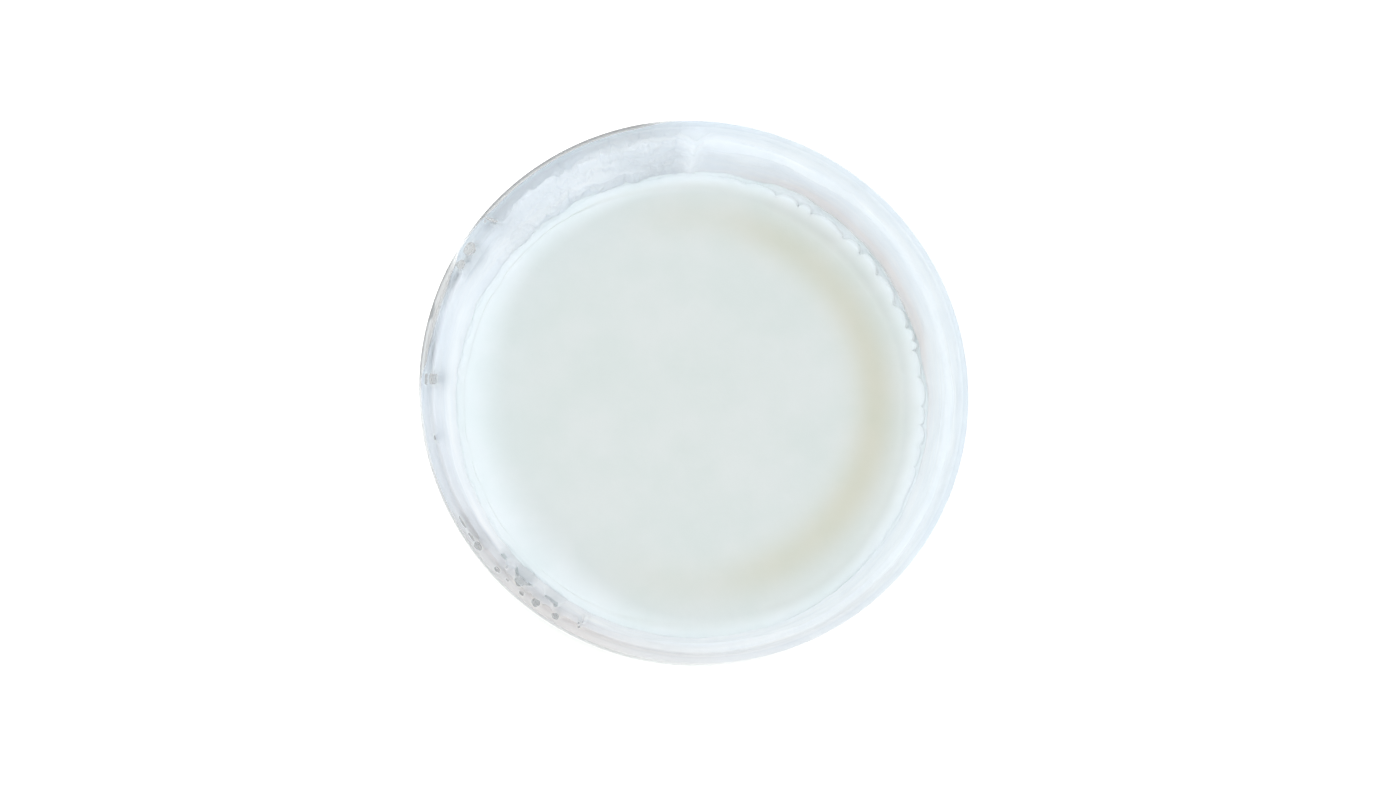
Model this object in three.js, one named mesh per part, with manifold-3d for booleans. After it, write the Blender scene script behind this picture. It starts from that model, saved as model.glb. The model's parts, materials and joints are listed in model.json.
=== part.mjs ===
// An open clear plastic tub, filled with white frosting that is smeared up its wall and over its lip.
// Millimetres, +Z up. The origin is the middle of the foot, on the surface that the tub stands on.
// Angles are in degrees, counter-clockwise from +X as seen from above. Depths are below the lip's smear.
import * as THREE from 'three';
import { mergeVertices } from 'three/addons/utils/BufferGeometryUtils.js';
import Module from 'manifold-3d';

// Driving dimensions of the tub
const HEIGHT = 74.2; // foot to the top of the smear on the lip
const TUB_HEIGHT = 73.6; // foot to the top of the bare lip
const LIP_RADIUS = 58.5;
const LIP_WIDTH = 1.5;
const LIP_DROP = 2.4;
const LIP_ROUND = 0.4;
const WALL = 0.9;
const SEAT_LOW = 68.5; // the lid's seat runs from the lip down to here, inside the wall
const SEAT_LEAN = 0.6; // how much the seat closes in on the way down
const LEDGE_WIDTH = 1.1; // the step in the wall below the seat
const LEDGE_DROP = 0.5;
const FLOOR_RADIUS = 44.6; // inside the wall, at the floor
const FLOOR_TOP = 2.1;
const FLOOR_ROUND = 2.6;
const FOOT_OUTER = 43.6;
const FOOT_INNER = 41.2;
const FOOT_RISE = 1.2; // the panel inside the foot ring stands this far off the table
const HEEL_HEIGHT = 3;

// Driving dimensions of the frosting
const GAP = 0.3; // clearance to the tub
const HEADSPACE = 14.6; // from the top of the smear down to the flat middle
const FLAT_RADIUS = 36;
const SEAT_FILM = 0.55; // thickness of the film on the seat
const LEDGE_LIFT = 0.6; // thickness of the film on the step
const THINNEST_FILM = 0.3;
const EDGE_ROUND = 0.15;
const SWELL = 0.12; // gentle unevenness of the flat middle
const SEGMENTS = 96;

// The frosting's forms round the tub: each line is [angle, size], eased from one to the next
const VALLEY_RADIUS = [[0, 46.6], [62, 46.4], [95, 47.5], [135, 49.6], [180, 49.9], [240, 49.5], [290, 47.4]];
const VALLEY_DROP = [[0, 1.7], [60, 1.5], [95, 1.2], [135, 1.9], [180, 2.3], [235, 2.1], [285, 1.3]];
const CREST_RADIUS = [[0, 51.5], [12, 51.3], [45, 50.9], [70, 50.9], [100, 50.5], [135, 50.9], [160, 51.2],
  [195, 51.1], [225, 50.7], [260, 51.6], [285, 52.0], [330, 51.5]];
const CREST_RISE = [[0, 2.1], [15, 2.5], [40, 3.2], [60, 2.9], [80, 1.3], [100, 0.7], [135, 0.35], [180, 0.3],
  [240, 0.35], [270, 0.8], [330, 1.2]];
const CREVICE_DEPTH = [[0, 2.4], [10, 2.0], [18, 4.6], [45, 5.4], [60, 4.4], [72, 1.8], [90, 0.7], [130, 0.6],
  [180, 0.9], [240, 0.7], [275, 1.1], [330, 0.8], [350, 1.8]];
const FOOT_FILM = [[0, 0.7], [12, 0.9], [20, 0.4], [60, 0.4], [80, 1.3], [100, 2.3], [135, 2.0], [160, 1.7],
  [195, 1.9], [225, 2.1], [250, 1.6], [280, 0.8], [330, 0.8]];
const LEDGE_FILM = [[0, 0.7], [60, 0.7], [90, 1.1], [110, 1.6], [140, 1.1], [160, 0.8], [235, 0.8],
  [280, 0.7]];
const ROUGHNESS = [[0, 0.3], [40, 0.15], [80, 0.3], [95, 0.7], [125, 0.8], [145, 0.3], [200, 0.15],
  [240, 0.25], [280, 0.1], [340, 0.15]];
const RAGGEDNESS = [[0, 0.5], [40, 0.6], [70, 0.4], [110, 0.4], [150, 0.3], [230, 0.2], [270, 0.1],
  [330, 0.2]];
const LIP_COVER = [[0, 1.2], [95, 1.2], [104, 0.6], [138, 0.6], [145, 1.1], [150, 1.1], [154, 0.05],
  [174, 0.05], [180, 1.2]];
const FILM_DROP = [[0, 0], [154, 0], [159, 2.3], [165, 3.2], [169, 2.5], [174, 0]];
const DRIP_ANGLE = 90;
const DRIP_SPREAD = 2.4;
const DRIP_THICKNESS = 1.0;

// Shares: how far the seat's film takes after the step's, how strong each unevenness is, and how far
// down the crevice its wall bends, how far across it its floor lies and how far down its ridge bends
const SEAT_BLEND = 0.35;
const COARSE_SHARE = 0.6;
const EDGE_WAVE_SHARE = 0.15;
const CREST_WAVE_SHARE = 0.2;
const CREVICE_WAVE_SHARE = 0.25;
const CREVICE_BEND = 0.45;
const CREVICE_FLOOR = 0.55;
const CREST_BENDS = [0.5, 0.14];

// Bare patches in the film: angle and depth of the middle, width, height, lean and whether it is squarish
const PATCHES = [
  { angle: 148.2, depth: 2.4, width: 2.4, height: 5.2, lean: 14 },
  { angle: 152.4, depth: 2.4, width: 1.9, height: 3.8, lean: 0 },
  { angle: 178.5, depth: 2.3, width: 2.6, height: 6.6, lean: 0, square: true },
  { angle: 210.6, depth: 1.3, width: 3.0, height: 1.2, lean: -14 },
  { angle: 216.2, depth: 1.9, width: 1.6, height: 3.4, lean: 0 },
  { angle: 220.7, depth: 9.8, width: 1.1, height: 3.6, lean: 0 },
  { angle: 227.9, depth: 3.4, width: 2.5, height: 5.6, lean: 0 },
  { angle: 226.2, depth: 7.2, width: 1.2, height: 4.8, lean: -18 },
  { angle: 229.6, depth: 7.0, width: 1.2, height: 4.4, lean: 24 },
  { angle: 233.7, depth: 2.4, width: 1.3, height: 4.0, lean: 0 },
  { angle: 235.8, depth: 9.4, width: 3.6, height: 1.5, lean: 22 },
];
const PATCH_SIDES = 12;
const PATCH_FROM = 52.5; // the radii between which a patch's cutter runs
const PATCH_TO = 57.6;
const OVAL_POWER = 1; // how square a cutter's outline is
const SQUARE_POWER = 0.45;

// Where the rings of points lie: heights on the plain wall, and shares of the way along each form
const WALL_LEVELS = [20, 38, 52];
const SEAT_PARTS = [0.25, 0.65, 1];
const FACE_PARTS = [0.1, 0.36, 0.62, 0.86];
const SURFACE_PARTS = [1, 0.94, 0.88, 0.82, 0.76, 0.66, 0.5, 0.32, 0.16];
const HEEL_PARTS = [[0.62, 0.16], [0.9, 0.5]];
const RIDGE_PARTS = [[0.35, 0.66], [0.68, 0.2]];
const FLOOR_TURNS = [30, 60];

// The grain of each unevenness: cells round the tub, height of a cell and its own seed
const COARSE_LUMPS = [24, 6, 4];
const FINE_LUMPS = [60, 3.2, 3];
const NOTCHES = [72, 9, 1];
const CREST_WAVES = [48, 9, 2];
const CREVICE_WAVES = [40, 9, 6];
const EDGE_WAVES = [60, 9, 5];
const SWELL_WAVES = [9, 12, 7];
const HASH_STEPS = [127.1, 311.7, 74.7]; // per column, row and seed
const HASH_SCALE = 43758.5453;

const MERGE_DISTANCE = 1e-4; // points closer than this are one point
const TUB_COLOUR = 0xdfe6ea;
const FROSTING_COLOUR = 0xf0f1ea;

const wasm = await Module();
wasm.setup();

const ease = (t) => t * t * (3 - 2 * t);
const clamp = (t) => Math.min(1, Math.max(0, t));
const mix = (a, b, t) => a + (b - a) * t;

// A size at an angle, eased between the stops on either side of it
function around(stops, angle) {
  const turn = ((angle % 360) + 360) % 360;
  const next = stops.findIndex(([stop]) => stop > turn);
  const [fromAngle, from] = stops[(next < 0 ? stops.length : next) - 1];
  const [toAngle, to] = next < 0 ? [360, stops[0][1]] : stops[next];
  return mix(from, to, ease((turn - fromAngle) / (toAngle - fromAngle)));
}

// A repeatable random number from -1 to 1 for a cell of a grid
function scatter(column, row, seed) {
  const [perColumn, perRow, perSeed] = HASH_STEPS;
  const wave = Math.sin(column * perColumn + row * perRow + seed * perSeed) * HASH_SCALE;
  return 2 * (wave - Math.floor(wave)) - 1;
}

// Smooth unevenness from -1 to 1 round the tub and up its wall, with whole cells round the circle
function unevenness(angle, height, [cells, cellHeight, seed]) {
  const across = ((((angle % 360) + 360) % 360) / 360) * cells;
  const up = height / cellHeight;
  const column = Math.floor(across);
  const row = Math.floor(up);
  const s = ease(across - column);
  const t = ease(up - row);
  const at = (i, j) => scatter((column + i) % cells, row + j, seed);
  return mix(mix(at(0, 0), at(1, 0), s), mix(at(0, 1), at(1, 1), s), t);
}

// The inside of the tub from the middle of its floor up to the lip, moved in and up by the inset
function cavity(inset) {
  const seatTop = LIP_RADIUS - LIP_WIDTH;
  const seatLow = seatTop - SEAT_LEAN;
  const wallTop = seatLow - LEDGE_WIDTH;
  const wallLow = SEAT_LOW - LEDGE_DROP;
  const wallRadius = (z) => mix(FLOOR_RADIUS, wallTop, (z - FLOOR_TOP) / (wallLow - FLOOR_TOP));
  const roundTop = FLOOR_TOP + FLOOR_ROUND;
  const points = [[0, FLOOR_TOP], [FLOOR_RADIUS - FLOOR_ROUND, FLOOR_TOP]];
  for (const turn of FLOOR_TURNS) {
    const a = THREE.MathUtils.degToRad(turn);
    points.push([
      mix(FLOOR_RADIUS - FLOOR_ROUND, wallRadius(roundTop), Math.sin(a)),
      roundTop - FLOOR_ROUND * Math.cos(a),
    ]);
  }
  for (const z of [roundTop, ...WALL_LEVELS, wallLow]) {
    points.push([wallRadius(z), z]);
  }
  points.push([seatLow, SEAT_LOW]);
  points.push([seatTop, TUB_HEIGHT - LIP_ROUND]);
  return points.map(([r, z]) => [Math.max(0, r - (r > 0 ? inset : 0)), z + inset]);
}

// The radius of a line of points at a height
function radiusAt(points, z) {
  const next = points.findIndex(([, height], i) => i > 1 && height >= z);
  if (next < 0) {
    return points[points.length - 1][0];
  }
  const [r0, z0] = points[next - 1];
  const [r1, z1] = points[next];
  return mix(r0, r1, clamp((z - z0) / (z1 - z0)));
}

// A lathe shape that stands on +Z, with each point moved to where the profile has it at that angle
function spun(profileAt) {
  const sample = profileAt(0).map(([r, z]) => new THREE.Vector2(r, z));
  const geometry = new THREE.LatheGeometry(sample, SEGMENTS);
  const position = geometry.attributes.position;
  for (let i = 0; i <= SEGMENTS; i += 1) {
    const angle = (360 * (i % SEGMENTS)) / SEGMENTS;
    const radians = THREE.MathUtils.degToRad(angle);
    profileAt(angle).forEach(([r, z], j) => {
      position.setXYZ(i * sample.length + j, r * Math.cos(radians), r * Math.sin(radians), z);
    });
  }
  return closed(geometry);
}

// The same surface with shared points merged and without the triangles that shrink to a line
function closed(geometry) {
  geometry.deleteAttribute('normal');
  geometry.deleteAttribute('uv');
  const merged = mergeVertices(geometry, MERGE_DISTANCE);
  const index = [];
  for (let i = 0; i < merged.index.count; i += 3) {
    const [a, b, c] = [0, 1, 2].map((k) => merged.index.getX(i + k));
    if (a !== b && b !== c && c !== a) {
      index.push(a, b, c);
    }
  }
  merged.setIndex(index);
  return merged;
}

function toSolid(geometry) {
  return new wasm.Manifold(new wasm.Mesh({
    numProp: 3,
    vertProperties: new Float32Array(geometry.attributes.position.array),
    triVerts: new Uint32Array(geometry.index.array),
  }));
}

function toGeometry(solid) {
  const mesh = solid.getMesh();
  const geometry = new THREE.BufferGeometry();
  geometry.setAttribute('position', new THREE.BufferAttribute(mesh.vertProperties, 3));
  geometry.setIndex(new THREE.BufferAttribute(mesh.triVerts, 1));
  return geometry;
}

// The tub's section: foot ring, heel, wall, step, rounded lip, then down its inside
function tubProfile() {
  const inside = cavity(0);
  const outside = inside.slice(2 + FLOOR_TURNS.length, -1).map(([r, z]) => [r + WALL, z - LEDGE_DROP]);
  const seatTop = LIP_RADIUS - LIP_WIDTH;
  const lipLow = TUB_HEIGHT - LIP_DROP;
  return [
    [0, FOOT_RISE],
    [FOOT_INNER - FOOT_RISE, FOOT_RISE],
    [FOOT_INNER, 0],
    [FOOT_OUTER, 0],
    ...HEEL_PARTS.map(([out, up]) => [mix(FOOT_OUTER, outside[0][0], out), HEEL_HEIGHT * up]),
    ...outside,
    [seatTop + WALL - SEAT_LEAN / 3, lipLow],
    [LIP_RADIUS - LIP_ROUND, lipLow],
    [LIP_RADIUS, lipLow + LIP_ROUND],
    [LIP_RADIUS, TUB_HEIGHT - LIP_ROUND],
    [LIP_RADIUS - LIP_ROUND, TUB_HEIGHT],
    [seatTop + LIP_ROUND, TUB_HEIGHT],
    ...inside.slice().reverse(),
  ];
}

// How thick the film on the wall is, from its foot to the lip
function filmThickness(angle, z, foot) {
  const ledge = SEAT_LOW - LEDGE_DROP;
  const low = mix(around(FOOT_FILM, angle), around(LEDGE_FILM, angle), clamp((z - foot) / (ledge - foot)));
  const smooth = z > ledge ? mix(SEAT_FILM, around(LEDGE_FILM, angle), SEAT_BLEND) : low;
  const lumps = unevenness(angle, z, FINE_LUMPS) + COARSE_SHARE * unevenness(angle, z, COARSE_LUMPS);
  const drip = DRIP_THICKNESS * Math.exp(-(((angle - DRIP_ANGLE) / DRIP_SPREAD) ** 2));
  return Math.max(THINNEST_FILM, smooth + drip + around(ROUGHNESS, angle) * lumps);
}

// The flat middle and its falling edge, out to the valley
function surfaceHeight(angle, r, valley) {
  const fall = ease(clamp((r - FLAT_RADIUS) / (valley - FLAT_RADIUS)));
  const swell = SWELL * clamp(r / FLAT_RADIUS) * unevenness(angle, r, SWELL_WAVES);
  return HEIGHT - HEADSPACE - around(VALLEY_DROP, angle) * fall + swell;
}

// The frosting's section at an angle: up its outside, over the lip, down the film, crevice, ridge, middle
function frostingProfile(angle) {
  const outer = cavity(GAP);
  const side = (z) => radiusAt(outer, z);
  const waved = (stops, share, waves) => around(stops, angle) * (1 + share * unevenness(angle, 0, waves));
  const drop = waved(FILM_DROP, EDGE_WAVE_SHARE, EDGE_WAVES);
  const filmTop = TUB_HEIGHT + GAP - drop;
  const onLip = around(LIP_COVER, angle);
  const edge = side(filmTop);
  const smear = HEIGHT - TUB_HEIGHT - GAP;

  const valley = around(VALLEY_RADIUS, angle);
  const crest = around(CREST_RADIUS, angle) + around(RAGGEDNESS, angle) * unevenness(angle, 0, NOTCHES);
  const low = surfaceHeight(angle, valley, valley);
  const rise = waved(CREST_RISE, CREST_WAVE_SHARE, CREST_WAVES);
  const depth = waved(CREVICE_DEPTH, CREVICE_WAVE_SHARE, CREVICE_WAVES);
  const top = low + rise;
  const bottom = top - depth;
  const film = (z) => side(z) - filmThickness(angle, z, bottom);
  const gutter = Math.max(film(bottom) - EDGE_ROUND, crest + 2 * THINNEST_FILM);
  const ledge = SEAT_LOW - LEDGE_DROP;

  const points = outer.slice(0, -1);
  points.push([edge, filmTop - EDGE_ROUND]);
  points.push([edge + onLip, filmTop]);
  points.push([edge + onLip - EDGE_ROUND / 2, filmTop + smear]);
  points.push([edge - SEAT_FILM / 2, filmTop + smear]);
  for (const part of SEAT_PARTS) {
    const z = mix(filmTop, SEAT_LOW + LEDGE_LIFT + GAP, part);
    points.push([film(z), z]);
  }
  points.push([film(ledge), ledge + LEDGE_LIFT + GAP]);
  for (const part of FACE_PARTS) {
    const z = mix(ledge, top, part);
    points.push([Math.max(film(z), gutter), z]);
  }
  const bend = mix(top, bottom, CREVICE_BEND);
  points.push([Math.max(film(bend), gutter), bend]);
  points.push([gutter, bottom + 2 * EDGE_ROUND]);
  points.push([mix(crest, gutter, CREVICE_FLOOR), bottom]);
  points.push([crest + EDGE_ROUND, mix(top, bottom, CREST_BENDS[0])]);
  points.push([crest, mix(top, bottom, CREST_BENDS[1])]);
  points.push([crest - 2 * EDGE_ROUND, top]);
  for (const [along, up] of RIDGE_PARTS) {
    points.push([mix(crest, valley, along), low + up * rise]);
  }
  for (const part of SURFACE_PARTS) {
    points.push([valley * part, surfaceHeight(angle, valley * part, valley)]);
  }
  points.push([0, surfaceHeight(0, 0, valley)]);
  return points;
}

// A cutter as long as the film is deep, with an oval or a squarish outline
function patchCutter({ angle, depth, width, height, lean, square }) {
  const power = square ? SQUARE_POWER : OVAL_POWER;
  const shape = new THREE.Shape();
  for (let i = 0; i < PATCH_SIDES; i += 1) {
    const a = (2 * Math.PI * (i + 0.5)) / PATCH_SIDES;
    const x = (width / 2) * Math.sign(Math.cos(a)) * Math.abs(Math.cos(a)) ** power;
    const y = (height / 2) * Math.sign(Math.sin(a)) * Math.abs(Math.sin(a)) ** power;
    shape[i ? 'lineTo' : 'moveTo'](x, y);
  }
  const cutter = new THREE.ExtrudeGeometry(shape, { depth: PATCH_TO - PATCH_FROM, bevelEnabled: false });
  cutter.rotateZ(THREE.MathUtils.degToRad(lean));
  cutter.rotateX(Math.PI / 2);
  cutter.rotateZ(Math.PI / 2);
  cutter.translate(PATCH_FROM, 0, HEIGHT - depth);
  cutter.rotateZ(THREE.MathUtils.degToRad(angle));
  return toSolid(closed(cutter));
}

function tub() {
  const profile = tubProfile();
  const material = new THREE.MeshStandardMaterial({
    color: TUB_COLOUR, roughness: 0.2, metalness: 0, transparent: true, opacity: 0.35,
  });
  const mesh = new THREE.Mesh(spun(() => profile), material);
  mesh.name = 'tub';
  return mesh;
}

function frosting() {
  let solid = toSolid(spun(frostingProfile));
  for (const patch of PATCHES) {
    solid = solid.subtract(patchCutter(patch));
  }
  const material = new THREE.MeshStandardMaterial({ color: FROSTING_COLOUR, roughness: 0.6, metalness: 0 });
  const mesh = new THREE.Mesh(toGeometry(solid), material);
  mesh.name = 'frosting';
  return mesh;
}

const model = new THREE.Group();
model.add(tub(), frosting());

export default model;
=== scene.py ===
"""An open clear plastic tub, filled with white frosting that is smeared up its wall and over its lip.

Shapes are worked out in millimetres and become metres in their meshes. Angles are in degrees,
counter-clockwise from +X as seen from above. Depths are below the top of the smear on the lip.
"""

import json
import math

import bpy
import numpy as np
from bpy.props import FloatVectorProperty, IntProperty, PointerProperty
from mathutils import Matrix, Vector

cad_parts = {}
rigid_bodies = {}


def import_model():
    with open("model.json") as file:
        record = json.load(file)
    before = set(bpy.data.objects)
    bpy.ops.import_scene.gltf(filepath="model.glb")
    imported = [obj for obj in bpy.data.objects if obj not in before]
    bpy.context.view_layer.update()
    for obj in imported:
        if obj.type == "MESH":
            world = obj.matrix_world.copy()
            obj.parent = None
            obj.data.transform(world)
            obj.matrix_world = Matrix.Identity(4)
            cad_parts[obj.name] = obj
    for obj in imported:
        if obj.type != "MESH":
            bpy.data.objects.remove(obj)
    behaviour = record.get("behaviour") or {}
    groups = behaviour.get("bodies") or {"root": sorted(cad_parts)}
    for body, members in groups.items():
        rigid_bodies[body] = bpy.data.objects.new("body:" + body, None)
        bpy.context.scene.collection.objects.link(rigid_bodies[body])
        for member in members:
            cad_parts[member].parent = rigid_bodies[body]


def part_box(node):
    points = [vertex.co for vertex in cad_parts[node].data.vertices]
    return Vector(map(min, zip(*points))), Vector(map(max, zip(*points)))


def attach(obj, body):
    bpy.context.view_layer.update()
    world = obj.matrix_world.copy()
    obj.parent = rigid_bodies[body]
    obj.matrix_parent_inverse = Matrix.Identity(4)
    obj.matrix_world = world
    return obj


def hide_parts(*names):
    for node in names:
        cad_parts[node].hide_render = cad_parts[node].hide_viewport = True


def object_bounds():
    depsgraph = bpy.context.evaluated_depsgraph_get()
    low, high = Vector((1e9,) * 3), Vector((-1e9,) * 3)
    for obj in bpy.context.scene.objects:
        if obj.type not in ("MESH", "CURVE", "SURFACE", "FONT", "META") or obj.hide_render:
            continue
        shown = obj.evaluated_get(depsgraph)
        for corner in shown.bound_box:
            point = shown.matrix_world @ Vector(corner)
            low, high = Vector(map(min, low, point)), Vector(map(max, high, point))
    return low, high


bl_info = {
    "name": "Frosting tub",
    "version": (1, 0, 0),
    "blender": (4, 5, 0),
    "location": "View3D > Sidebar > Frosting tub",
    "description": "Builds a clear tub of white frosting with its floor, lights and camera",
    "category": "Object",
}

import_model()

MM = 0.001
LOWEST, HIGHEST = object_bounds()
TOP = HIGHEST.z / MM  # top of the smear on the lip
LIP_RADIUS = HIGHEST.x / MM
TUB_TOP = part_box("tub")[1].z / MM
GAP = 0.3  # clearance between the frame's tub and frosting
FLOOR_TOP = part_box("frosting")[0].z / MM - GAP

# The tub's section
LIP_WIDTH = 1.5
LIP_DROP = 2.4
LIP_ROUND = 0.4
WALL = 0.9
SEAT_LOW = 68.5
SEAT_LEAN = 0.6
LEDGE_WIDTH = 1.1
LEDGE_DROP = 0.5
FLOOR_RADIUS = 44.6
FLOOR_ROUND = 2.6
FOOT_OUTER = 43.6
FOOT_INNER = 41.2
FOOT_RISE = 1.2
HEEL_HEIGHT = 3.0
HEEL_ROUND = ((0.62, 0.16), (0.9, 0.5))  # shares out from the foot ring and up its heel

# The frosting's sizes
HEADSPACE = 14.6
FLAT_RADIUS = 36.0
SEAT_FILM = 0.55
THINNEST_FILM = 0.3
EDGE_ROUND = 0.15
SWELL = 0.12
SINK = 0.08  # how far the frosting reaches into the plastic, so that no air gap shows

# The frosting's forms round the tub: each pair is an angle and a size, eased from one to the next
VALLEY_RADIUS = ((0, 46.7), (62, 46.0), (95, 46.7), (135, 48.6), (180, 49.4), (240, 49.5), (290, 47.5))
VALLEY_DROP = ((0, 1.7), (60, 1.5), (95, 1.2), (135, 1.9), (180, 2.3), (235, 2.1), (285, 1.3))
CREST_RADIUS = (
    (0, 51.6), (12, 51.4), (45, 50.7), (70, 50.3), (100, 49.6), (135, 49.8), (160, 50.3),
    (195, 50.7), (225, 50.7), (260, 51.7), (285, 52.1), (330, 51.6),
)
CREST_RISE = (
    (0, 2.1), (15, 2.5), (40, 3.2), (60, 2.9), (80, 1.3), (100, 0.7), (135, 0.35), (180, 0.3),
    (240, 0.35), (270, 0.8), (330, 1.2),
)
CREVICE_DEPTH = (
    (0, 1.6), (10, 1.8), (18, 2.5), (45, 3.0), (60, 2.6), (72, 1.3), (86, 0.3), (130, 0.3),
    (180, 0.35), (240, 0.25), (275, 0.18), (320, 0.25), (335, 0.6), (350, 1.1),
)
FOOT_FILM = (
    (0, 0.7), (12, 0.9), (20, 0.4), (60, 0.4), (80, 1.3), (100, 2.0), (135, 1.7), (160, 1.2),
    (195, 1.1), (225, 0.9), (250, 0.9), (280, 0.8), (330, 0.8),
)
LEDGE_FILM = (
    (0, 0.7), (60, 0.7), (90, 1.1), (110, 1.6), (140, 1.1), (160, 0.8), (235, 0.8), (280, 0.7),
)
ROUGHNESS = (
    (0, 0.3), (40, 0.15), (80, 0.3), (95, 0.7), (125, 0.8), (145, 0.3), (200, 0.15), (240, 0.25),
    (280, 0.1), (340, 0.15),
)
RAGGEDNESS = (
    (0, 0.5), (40, 0.6), (70, 0.4), (110, 0.4), (150, 0.6), (200, 0.5), (230, 0.2), (270, 0.1), (330, 0.2),
)
LIP_COVER = (
    (0, 1.2), (95, 1.2), (104, 0.6), (138, 0.6), (145, 1.1), (151, 1.1), (155.5, 0.05), (174, 0.05),
    (180, 1.2),
)
FILM_DROP = ((0, 0), (155.5, 0), (160, 2.2), (165, 2.8), (169.5, 2.2), (174.5, 0))
DRIP_ANGLE = 90.6
DRIP_SPREAD = 1.7
DRIP_THICKNESS = 1.7
SEAT_BLEND = 0.35
COARSE_SHARE = 0.6
# How much the sizes waver round the tub, as shares of themselves
RISE_WAVER = 0.2
CREVICE_WAVER = 0.25
FILM_TOP_WAVER = 0.15
FOLD_WAVER = 0.3
CREST_RAG = 0.5
CREST_OUT = 0.3

# The ridge's lobes: the angles of the sharp notches between them, and how deep the notches are
NOTCH_ANGLES = (
    6.1, 12.9, 15.4, 19.0, 25.7, 34.6, 41.4, 47.0, 57.6, 61.5, 67.7, 76.0, 84.0,
    338.0, 343.5, 349.0, 354.0, 358.6,
)
NOTCH_DEPTH = (
    (0, 1.1), (12, 1.2), (25, 1.6), (50, 2.0), (66, 1.5), (78, 0.8), (88, 0.0), (335, 0.0), (348, 0.8),
)
FINE_NOTCHES = (190, 9.0, 12)
FINE_NOTCH = ((0, 0.11), (90, 0.11), (125, 0.28), (200, 0.3), (240, 0.12))
SHOULDER = 1.5  # how far inside the ridge's edge its top starts to fall
# Crumbs on the ridge: how high they stand, with the size of their cells
CRUMBS = (
    (0, 0.28), (20, 0.22), (45, 0.16), (80, 0.22), (110, 0.2), (150, 0.12), (220, 0.08), (270, 0.04),
    (330, 0.15), (345, 0.28),
)
CRUMB_CELLS = (150, 2.2, 13)
# The fold at the foot of the film: how thick it adds and how fast it fades up the wall
FOLD = (
    (0, 0.6), (25, 0.6), (62, 0.6), (85, 1.2), (105, 1.9), (180, 1.7), (235, 1.4), (265, 1.3), (300, 1.0),
)
FOLD_HEIGHT = 1.7
FOLD_SLOPE = 1.6  # how fast the film may lean inward over the ridge
FOLD_WAVES = (110, 9.0, 14)
# How high the foot of the film stands, kept free of the painted shade as it faces up to the light, and how
# far up it fades
LIT_FOOT = 4.5
LIT_FOOT_FADE = 3.5
# Foam: how thick its bubbles stand on the film, with the size of its cells
FOAM = ((0, 0.0), (86, 0.1), (98, 1.2), (118, 1.5), (136, 1.2), (146, 0.3), (160, 0.0))
FOAM_CELLS = (120, 2.3, 8)
FOAM_FINE_CELLS = (280, 1.1, 9)
FOAM_LEVEL = 0.4
FOAM_FINE = 0.45
CREASE_SHARPNESS = 3.5  # the higher, the thinner the painted shade in the creases between the bubbles
# Thin ripples that run round the wall: angle, reach, height, thickness and spread up the wall
RIPPLES = (
    (273, 22, 67.4, 0.55, 0.35),
    (270, 18, 65.4, 0.34, 0.28),
    (262, 14, 70.2, 0.12, 0.25),
    (300, 26, 69.8, 0.18, 0.3),
    (72, 24, 68.1, 0.45, 0.3),
    (112, 12, 62.5, 0.70, 0.90),
    (2, 17, 70.6, 0.12, 0.25),
    (4, 14, 69.2, 0.10, 0.25),
    (356, 16, 66.4, 0.14, 0.30),
    (196, 22, 64.0, 0.20, 0.60),
)
RIPPLE_WANDER = 0.3
RIPPLE_FADE = 1.3  # above 1 it keeps the full thickness further from the middle

# Tones of the cream at each angle. The olive band is painted shade on the flat's outer slope that faces away
# from the window: how strong it is, and where it lies and how wide
PAINTED_SHADE = ((0, 1.0), (60, 0.8), (90, 0.35), (120, 0.0), (230, 0.0), (270, 0.3), (300, 0.8), (330, 1.0))
PAINTED_SHADE_RADIUS = 40.8
PAINTED_SHADE_SPREAD = 5.0
# Painted light on the ridge's slopes that face the window: how wide and how strong it is
PAINTED_LIGHT_WIDTH = ((0, 5.0), (45, 4.3), (90, 4.1), (135, 6.6), (180, 11.5), (225, 11.5), (270, 5.0), (310, 3.0))
PAINTED_LIGHT_LEVEL = ((0, 1.0), (235, 1.0), (268, 0.75), (315, 0.7), (345, 1.0))
# Painted shade in the crevice: how much darker it is, and how far from the ridge's edge it is fully so
CREVICE_PAINTED_SHADE = ((0, 0.08), (15, 0.14), (65, 0.14), (88, 0.0), (330, 0.0), (350, 0.06))
CREVICE_PAINTED_SHADE_SPREAD = 0.7
# How grey the film is above its foot, as painted shade on the wall that faces away from the window, and how
# grey it is on the wall below the lid seat
SHADED_SIDE = ((0, 0.0), (80, 0.1), (110, 0.3), (135, 0.7), (170, 0.7), (225, 1.0), (250, 0.6), (290, 0.1))
LOW_COOL = ((0, 0.1), (40, 0.45), (70, 0.7), (95, 0.8), (120, 0.3), (180, 0.0), (300, 0.0))
LOW_FADE = 0.4
# How warm the film is, the share of that below the lid seat, and how high the change from one to the other is
WARM = (
    (0, 0.0), (165, 0.0), (200, 0.2), (220, 0.5), (240, 0.65), (262, 0.4), (282, 0.25), (300, 0.18),
    (330, 0.0),
)
WARM_LOW = 0.3
WARM_FADE = 4.0
# How warm the film is at the ridge, as painted shade from the crevice on the film's foot, and how far up that
# fades
CREVICE_WARM_SHADE = ((0, 0.3), (15, 0.5), (65, 0.5), (90, 0.15), (120, 0.0), (320, 0.0), (345, 0.2))
CREVICE_WARM_SHADE_HEIGHT = 1.6
RIPPLE_WHITE = 0.4  # how thick a ripple is before it is as white as it gets, a painted highlight along the ripple
# Where the film turns to the tone of the lip: how far in and down that starts, and how fast
LIP_TONE_INWARD, LIP_TONE_INWARD_FADE = 0.5, 0.6
LIP_TONE_DOWN, LIP_TONE_DOWN_FADE = 0.5, 0.4

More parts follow.
